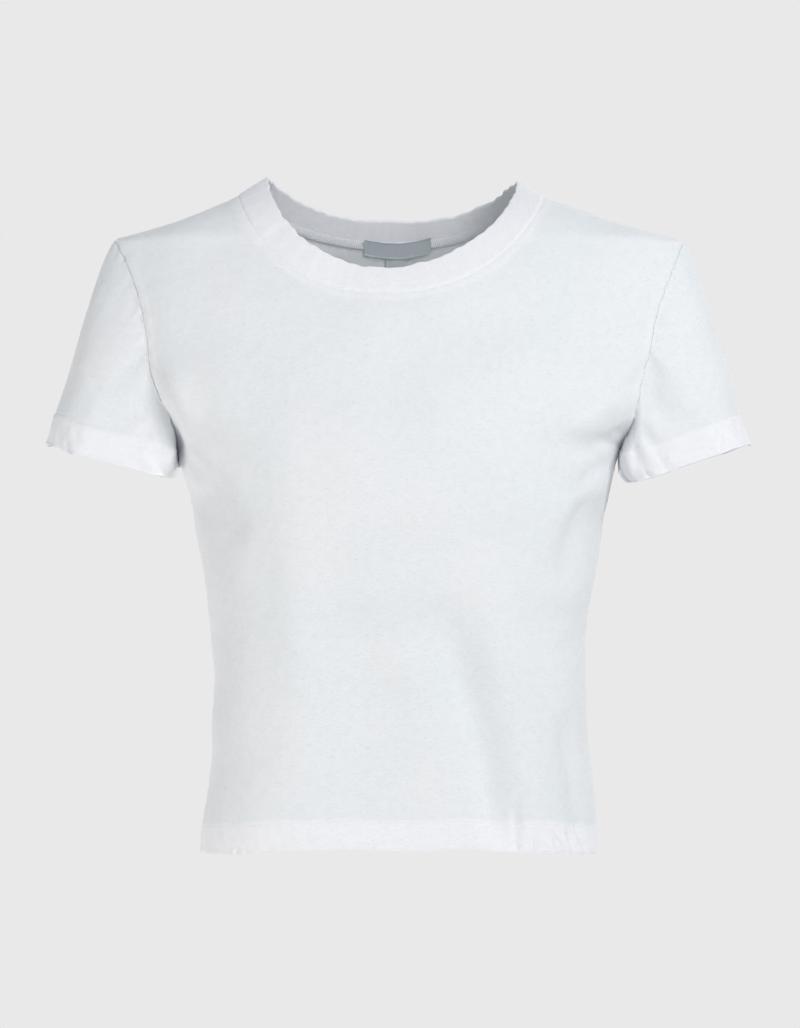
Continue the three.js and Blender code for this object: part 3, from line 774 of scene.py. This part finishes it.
# ---- sleeves ----
sleeveLook = dict(
    left=dict(outer=(244.5, -173), inner=(160.3, -199.5), depth=54, lean=15, bulge=34),
    right=dict(outer=(-245.5, -173.5), inner=(-160.5, -196.5), depth=54, lean=17, bulge=28),
    hem=22.0, rows=60, single=0.8, hemThick=1.7, groove=0.2, grooveWide=0.8,
    cornerUp=8.0, cornerIn=4.5, square=2.5, squareIn=4.0, fullOut=10.0, fullIn=3.0,
    evenReach=5, puckerReach=8.0,
)
sleeveCreases = dict(
    left=[
        (176, -128, 206, -150, 3, 6, 1.0), (168, -152, 200, -176, 4, 5, 1.3),
        (164, -168, 186, -192, 2, 4, 1.3), (203, -52, 216, -100, -3, 9, 0.8),
        (190, -72, 196, -124, 2, 8, 0.7), (226, -118, 214, -168, 3, 7, 0.7),
        (178, -174, 197, -196, 0.5, 2.0, 1.9), (169, -188, 186, -198, 0.4, 1.8, 1.4),
        (222, -160, 219, -182, 0.5, 2.4, 0.8), (236, -156, 238, -176, 0.5, 2.2, 0.8),
    ],
    right=[
        (-177, -120, -203, -150, -3, 6, 1.0), (-168, -150, -200, -172, -4, 5, 1.2),
        (-164, -164, -184, -190, -2, 4, 1.3), (-204, -56, -216, -104, 3, 9, 0.2),
        (-188, -66, -196, -112, -2, 8, 0.15), (-224, -112, -212, -160, -3, 7, 0.7),
        (-227, -160, -218, -192, 1, 2.4, 1.4), (-238, -161, -236, -192, 0.5, 2.4, 0.8),
        (-231, -162, -228, -184, 0.5, 1.8, 0.8), (-197, -174, -195, -206, 0.5, 2.1, 1.1),
        (-178, -179, -158, -212, -0.5, 2.8, 1.4),
    ],
)


# the ring again with a point between each two, so narrow creases keep their shape at the cuff
def halved(ring):
    return np.stack([ring, (ring + np.roll(ring, -1, 0)) / 2], 1).reshape(-1, 3)


def softened(ring, reach):
    shifts = range(-3 * reach, 3 * reach + 1)
    weights = [math.exp(-(k / reach) ** 2) for k in shifts]
    return sum(w * np.roll(ring, k, 0) for k, w in zip(shifts, weights)) / sum(weights)


def edgeRing(side):
    column = -1 if side == "left" else 0
    rows = np.flatnonzero(station[side]["part"] == 2)
    rows = np.r_[rows, rows[-1] + 1]
    front, back = (panels[h]["outer"][rows, column] for h in ("front", "back"))
    frontNormal, backNormal = (panels[h]["normal"][rows, column] for h in ("front", "back"))
    place = halved(np.concatenate([front, back[-2:0:-1]]))
    face = halved(np.concatenate([frontNormal, backNormal[-2:0:-1]]))
    return place, face, 2 * (len(front) - 1)


def sleeveSurface(side):
    look = {**sleeveLook, **sleeveLook[side]}
    sign = 1 if side == "left" else -1
    seam, face, top = edgeRing(side)
    # the seam's puckers fade close to it, the rest of the sleeve hangs from an even ring
    place = softened(seam, look["evenReach"])
    puckers = seam - place
    along = unit(np.roll(place, -1, 0) - np.roll(place, 1, 0))
    past = unit(np.cross(along, face)) * sign
    out = past + np.array([sign, 0, 0])
    leave = unit(out - along * (out * along).sum(-1, keepdims=True))
    steps = np.linalg.norm(np.roll(place, -1, 0) - place, axis=1)
    run = np.r_[0, np.cumsum(steps)]
    # turn goes from pi at the underarm over the front to 0 at the shoulder, and on to -pi over the back
    onBack = np.arange(len(place)) > top
    share = np.where(onBack, 1 + (run[:-1] - run[top]) / (run[-1] - run[top]), run[:-1] / run[top])
    turn = math.pi * (1 - share)
    (x0, z0), (x1, z1) = look["outer"], look["inner"]
    middle = np.array([(x0 + x1) / 2, 0, (z0 + z1) / 2])
    wide = np.array([x0, 0, z0]) - middle
    c, q = np.cos(turn), np.sin(turn)
    square = look["square"] + look["squareIn"] * smooth(0.5 - 0.9 * c)
    c, q = (np.sign(v) * abs(v) ** (2 / square) for v in (c, q))
    end = middle + wide * c[:, None] + np.array([0, -look["depth"], 0]) * q[:, None]
    corner = np.exp(-((math.pi - abs(turn)) / 0.36) ** 2)
    end[:, 2] += look["cornerUp"] * corner
    end[:, 0] -= sign * look["cornerIn"] * corner
    chord = np.linalg.norm(end - place, axis=1)[:, None]
    # near the underarm the sleeve leaves straight for the cuff, so no hollow forms there
    under = 0.85 * smooth((abs(turn) / math.pi - 0.15) / 0.6)[:, None]
    leave = unit(mix(leave, (end - place) / chord, under))
    go = leave * np.minimum(look["bulge"], 0.6 * chord)
    lean = math.radians(look["lean"])
    arm = np.array([sign * math.sin(lean), 0, -math.cos(lean)])
    hemShare = 1 - np.minimum(look["hem"] / chord[:, 0], 0.8)
    body = np.r_[0, 0.004, 0.01, 0.018, 0.03, 0.045, np.linspace(0.07, 0.97, look["rows"] - 12), 0.99, 1]
    hem = np.r_[0.03, 0.07, 0.12, 0.2, 0.3, 0.42, 0.55, 0.68, 0.8, 0.88, 0.94, 0.98, 1]
    t = np.concatenate([body[:, None] * hemShare, hemShare + hem[:, None] * (1 - hemShare)])[..., None]
    line = ((2 * t ** 3 - 3 * t ** 2 + 1) * place + (t ** 3 - 2 * t ** 2 + t) * go
            + (3 * t ** 2 - 2 * t ** 3) * end + (t ** 3 - t ** 2) * arm * chord)
    line = line + puckers * np.exp(-t * chord / look["puckerReach"])
    # low down in front the face of the sleeve fills out towards the body
    full = np.exp(-((turn / math.pi - 0.85) / 0.1) ** 2) * np.sin(math.pi * t[..., 0]) ** 0.8
    line[..., 1] -= look["fullOut"] * full
    line[..., 0] -= sign * look["fullIn"] * full
    normal = gridNormals(line, True) * sign
    x, y, z = line[..., 0], line[..., 1], line[..., 2]
    down = lengths(line, 0)
    fromCuff = down[-1:] - down
    round_ = lengths(np.concatenate([line, line[:, :1]], 1), 1)[:, :-1]
    lift = look["groove"] * (1 - np.exp(-(down / look["grooveWide"]) ** 2))
    lift += 0.25 * seamWave(run[:-1] + 300) * np.exp(-down / 8) * smooth(down / 2)
    front = creaseLift(x, z, sleeveCreases[side])
    rear = creaseLift(x + 3 * sign, z + 5, sleeveCreases[side])
    lift += np.where(y < 0, front, 0.9 * rear) * smooth(abs(y) / 14) * smooth(down / 5)
    lift += clothUnevenness(line) * smooth(down / 6)
    lift += 0.3 * (1 - smooth((fromCuff - 20.2) / 2.2)) - 0.5 * np.exp(-(fromCuff / 0.9) ** 2)
    lift -= 0.22 * np.exp(-((fromCuff - 19.6) / 0.7) ** 2)
    rippled = hemWave(round_ + 40 * sign + 0.5 * fromCuff, 0.4 * fromCuff)
    lift += 0.22 * rippled * (1 - smooth((fromCuff - 20) / 6))
    outer = line + normal * lift[..., None]
    stray = edgeStray(line)
    outer[..., 2] += stray * (1 - smooth(fromCuff / 40))
    inHem = 1 - smooth((fromCuff - 21.2 - 0.4 * stray) / 0.8)
    thick = mix(look["single"], look["hemThick"], inHem)
    cutPlace = np.stack([np.broadcast_to(round_[-1], fromCuff.shape), fromCuff], -1)
    return outer, thick, inHem, fromCuff, cutPlace


sleeves = {}
for side in ("left", "right"):
    outer, thick, whiter, fromCuff, place = sleeveSurface(side)
    piece = wallMesh("sleeve_" + side + "_cloth", outer, thick, True, jersey, whiter,
                     facing=1 if side == "left" else -1, uv=place)
    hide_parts("sleeve_" + side)
    sleeves[side] = dict(piece=piece, outer=outer, fromCuff=fromCuff)
    print(side, "sleeve made")


# ---- neckband: a strip folded double, seen as one soft tube with a wavy fold ----
bandLook = dict(proud=0.5, inside=1.5, crown=0.35, ridge=0.1, wavy=0.32, loose=0.45)


def bandSurface():
    look = bandLook
    u = spaced(panelLook["columns"], panelLook["edgeFine"], panelLook["edgeColumns"])
    t = mix(-quarter, quarter, u)
    seam = np.concatenate([panels["front"]["outer"][-1], panels["back"]["outer"][-1, -2:0:-1]])
    face = np.concatenate([panels["front"]["normal"][-1], panels["back"]["normal"][-1, -2:0:-1]])
    ex, ez, lean = [], [], []
    for half, ts, sign in (("front", t, 1), ("back", t[-2:0:-1], -1)):
        x, z = neckCurve(bandEdge, half, ts)
        ex.append(x)
        ez.append(z)
        lean.append(sign * bandEdge[half]["lean"] * np.cos(ts) ** 0.7)
    ex, ez, lean = np.concatenate(ex), np.concatenate(ez), np.nan_to_num(np.concatenate(lean))
    edge = np.stack([ex, seam[:, 1] + lean, ez], -1)
    steps = np.linalg.norm(np.roll(edge, -1, 0) - edge, axis=1)
    run = np.r_[0, np.cumsum(steps)[:-1]]
    total = steps.sum()
    closing = smooth(run / 25) * smooth((total - run) / 25)
    up = unit(edge - seam)
    edge = edge + up * ((look["wavy"] * edgeWave(run) + look["loose"] * looseWave(run)) * closing)[:, None]
    along = unit(np.roll(seam, -1, 0) - np.roll(seam, 1, 0))
    own = unit(np.cross(along, edge - seam))
    # outside from the seam up, over the fold, and down the inside
    up1 = np.r_[0, 0.02, 0.05, 0.09, 0.14, 0.2, 0.28, 0.38, 0.5, 0.62, 0.74, 0.84, 0.91, 0.955]
    fold = np.r_[0.985, 0.997, 1.0, 0.997, 0.985]
    shares = np.concatenate([up1, fold, up1[::-1]])
    sides = np.concatenate([np.ones(len(up1)), [0.75, 0.38, 0.0, -0.38, -0.75], -np.ones(len(up1))])
    grid, double = [], []
    for s, k in zip(shares, sides):
        normal = unit(mix(face, own, min(1, 0.5 + s)))
        if k > 0:
            out = look["proud"] * smooth(s / 0.05) + look["crown"] * math.sin(math.pi * min(s, 1))
            out = k * (out + look["ridge"] * math.exp(-((s - 0.13) / 0.07) ** 2))
        else:
            out = k * (look["inside"] + 0.5 * look["crown"] * math.sin(math.pi * s))
        soft = 0.06 * seamWave(run * 0.8 + 40 * s) * math.sin(math.pi * min(s, 1)) * closing
        grid.append(seam + (edge - seam) * s + normal * (out + soft * (1 if k >= 0 else -1))[:, None])
    return np.array(grid), seam, edge, face, own


bandGrid, bandSeam, bandTop, bandFace, bandOwn = bandSurface()
rows, cols = bandGrid.shape[:2]
index = np.arange(rows * cols).reshape(rows, cols)
index = np.concatenate([index, index[:, :1]], axis=1)
index = np.concatenate([index, index[:1]], axis=0)
bandFaces = quads(index)
bandUv = np.stack([lengths(bandGrid, 1), lengths(bandGrid, 0)], -1).reshape(-1, 2)
band = newMesh("neckband_folded", bandGrid.reshape(-1, 3), bandFaces.tolist(), jersey,
               bandUv, np.ones(rows * cols))
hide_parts("neckband")
print("neckband made")


# ---- label and size tab, plain ----
labelLook = dict(
    # below: from and to, mm under the neck seam; rise: how far each end bends up
    neck_label=dict(x=(-25, 23), below=(-5.6, 5.9), thick=0.5, lift=4.0, fall=1.6, bow=0.5,
                    rise=(1.9, 2.6), across=96, rows=24),
    size_tab=dict(x=(-9.5, 4.5), below=(5.6, 14.4), thick=0.4, lift=2.2, fall=0, bow=0.3,
                  rise=(0.3, 0.3), across=32, rows=16),
)


def labelSurface(look):
    x = np.linspace(*look["x"], look["across"])
    v = np.linspace(0, 1, look["rows"])[:, None]
    t = np.arcsin((x - neckSeam["middle"]) / neckSeam["half"])
    z = neckCurve(neckSeam, "back", t)[1] - mix(look["below"][0], look["below"][1], v)
    end = np.linspace(-1, 1, look["across"])
    z = z + np.where(end < 0, look["rise"][0], look["rise"][1]) * abs(end) ** 1.6
    x = np.broadcast_to(x, z.shape)
    angle = angleAt(x, z, "back")
    flat, normal = onForm(angle, z), formNormal(angle, z)
    s = np.linspace(0, 1, look["across"])
    # held at its two ends, so the middle stands off a little, and its top and bottom edges are folded
    depth = look["lift"] - look["fall"] * v + look["bow"] * np.sin(math.pi * s) * (0.5 + 0.5 * v)
    depth = depth + 0.12 * seamWave(x * 0.7 + 5 * v)
    roll = 0.25 * (np.exp(-(v * 12 / 0.8) ** 2) + np.exp(-((1 - v) * 12 / 0.8) ** 2))
    return flat - normal * (depth + roll)[..., None]


for name, look in labelLook.items():
    surface = labelSurface(look)
    towards = -1 if np.cross(surface[0, 1] - surface[0, 0], surface[1, 0] - surface[0, 0])[1] > 0 else 1
    thick = np.full(surface.shape[:2], look["thick"])
    piece = wallMesh(name + "_woven", surface, thick * towards, False, labelCloth)
    if towards < 0:
        piece.data.flip_normals()
    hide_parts(name)
print("labels made")


# ---- sewing ----
# a row of short stitches laid on a path, each one a small flat-bottomed bead
def stitchRow(name, path, normals, length, gap, wide, high, closed=True):
    if closed:
        path, normals = np.concatenate([path, path[:1]]), np.concatenate([normals, normals[:1]])
    run = runAlong(path)
    count = int(run[-1] / (length + gap))
    step = run[-1] / count
    profile = np.array([(0.0, 0.25), (0.12, 0.8), (0.5, 1.0), (0.88, 0.8), (1.0, 0.25)])
    ring = np.array([(-0.5, -0.6), (-0.42, 0.3), (0.0, 0.62), (0.42, 0.3), (0.5, -0.6)])
    at = (np.arange(count)[:, None] + 0.1) * step + profile[:, 0] * length
    point, normal = readAt(at, run, path), unit(readAt(at, run, normals))
    side = np.cross(unit(readAt(at + 0.4, run, path) - readAt(at - 0.4, run, path)), normal)
    grow = profile[:, 1][None, :, None, None]
    points = point[:, :, None] + side[:, :, None] * ring[:, 0, None] * wide * grow
    points = points + normal[:, :, None] * ring[:, 1, None] * high * grow
    n, m, k = points.shape[:3]
    base = np.arange(n)[:, None, None] * m * k
    i, j = np.arange(m - 1)[:, None], np.arange(k)
    ahead = (j + 1) % k
    quad = np.stack([i * k + j, i * k + ahead, (i + 1) * k + ahead, (i + 1) * k + j], -1).reshape(-1, 4)
    faces = (quad[None] + base).reshape(-1, 4).tolist()
    caps = [np.arange(k)[::-1], (m - 1) * k + np.arange(k)]
    faces += [(cap + start).tolist() for start in np.arange(n) * m * k for cap in caps]
    uv = np.stack(np.broadcast_arrays(at[..., None], ring[None, None, :, 0]), -1).reshape(-1, 2)
    return newMesh(name, points.reshape(-1, 3), faces, thread, uv)


def levelPath(distance, grid, value):
    low = (distance > value).argmax(0) if distance[0, 0] < distance[-1, 0] else (distance < value).argmax(0)
    cols = np.arange(grid.shape[1])
    a, b = distance[low - 1, cols], distance[low, cols]
    t = ((value - a) / (b - a))[:, None]
    return grid[low - 1, cols] * (1 - t) + grid[low, cols] * t


sewing = dict(hem=19.0, cuff=19.6, stitch=dict(length=2.1, gap=0.7, wide=0.4, high=0.1))
hemPath, hemNormal = [], []
for half in ("front", "back"):
    p = panels[half]
    facing = 1 if half == "front" else -1
    path = levelPath(p["fromHem"], p["outer"], sewing["hem"])
    normal = levelPath(p["fromHem"], gridNormals(p["outer"], False) * facing, sewing["hem"])
    hemPath.append(path if half == "front" else path[::-1])
    hemNormal.append(normal if half == "front" else normal[::-1])
stitchRow("hem_stitches", np.concatenate(hemPath), np.concatenate(hemNormal), **sewing["stitch"])
for side in ("left", "right"):
    s = sleeves[side]
    sign = 1 if side == "left" else -1
    path = levelPath(s["fromCuff"], s["outer"], sewing["cuff"])
    normal = levelPath(s["fromCuff"], gridNormals(s["outer"], True) * sign, sewing["cuff"])
    stitchRow("cuff_stitches_" + side, path, normal, **sewing["stitch"])


# overlocked seam allowance inside: a narrow strip whose threads stand up as fine ribs
def overlock(name, path, upWay, inWay, wide, pitch, closed, offset):
    if closed:
        path, upWay, inWay = (np.concatenate([v, v[:1]]) for v in (path, upWay, inWay))
    run = runAlong(path)
    ribs = int(run[-1] / pitch)
    at = np.linspace(0, run[-1], 6 * ribs + 1)
    p, up, inward = readAt(at, run, path), unit(readAt(at, run, upWay)), unit(readAt(at, run, inWay))
    rib = 0.5 + 0.5 * np.cos(2 * math.pi * at / (run[-1] / ribs))
    slant = unit(np.gradient(p, axis=0))
    grid = []
    for s in (0.0, 0.12, 0.3, 0.5, 0.7, 0.88, 1.0):
        out = offset + (0.45 + 0.38 * rib) * math.sin(math.pi * (0.08 + 0.86 * s)) ** 0.5
        reach = wide * s + (0.35 * rib * smooth((s - 0.7) / 0.3))
        grid.append(p + up * reach[:, None] + slant * (0.5 * pitch * s) + inward * out[:, None])
    grid = np.array(grid)
    if closed:
        grid = grid[:, :-1]
    back = grid - inward[None, :grid.shape[1]] * 0.5
    rows, cols = grid.shape[:2]
    loop = np.concatenate([grid, back[::-1]])
    index = np.arange(2 * rows * cols).reshape(2 * rows, cols)
    index = np.concatenate([index, index[:1]], axis=0)
    if closed:
        index = np.concatenate([index, index[:, :1]], axis=1)
    faces = quads(index).tolist()
    if not closed:
        faces += [index[:-1, 0].tolist(), index[:-1, -1][::-1].tolist()]
    uv = np.stack(np.broadcast_arrays(at[:cols], np.arange(2 * rows)[:, None] * 0.8), -1)
    return newMesh(name, loop.reshape(-1, 3), faces, thread, uv.reshape(-1, 2))


bandInward = -unit(bandFace + bandOwn)
overlock("neck_overlock", bandSeam + bandInward * 1.3, bandTop - bandSeam, bandInward,
         wide=5.6, pitch=1.35, closed=True, offset=0.25)
print("sewing made")
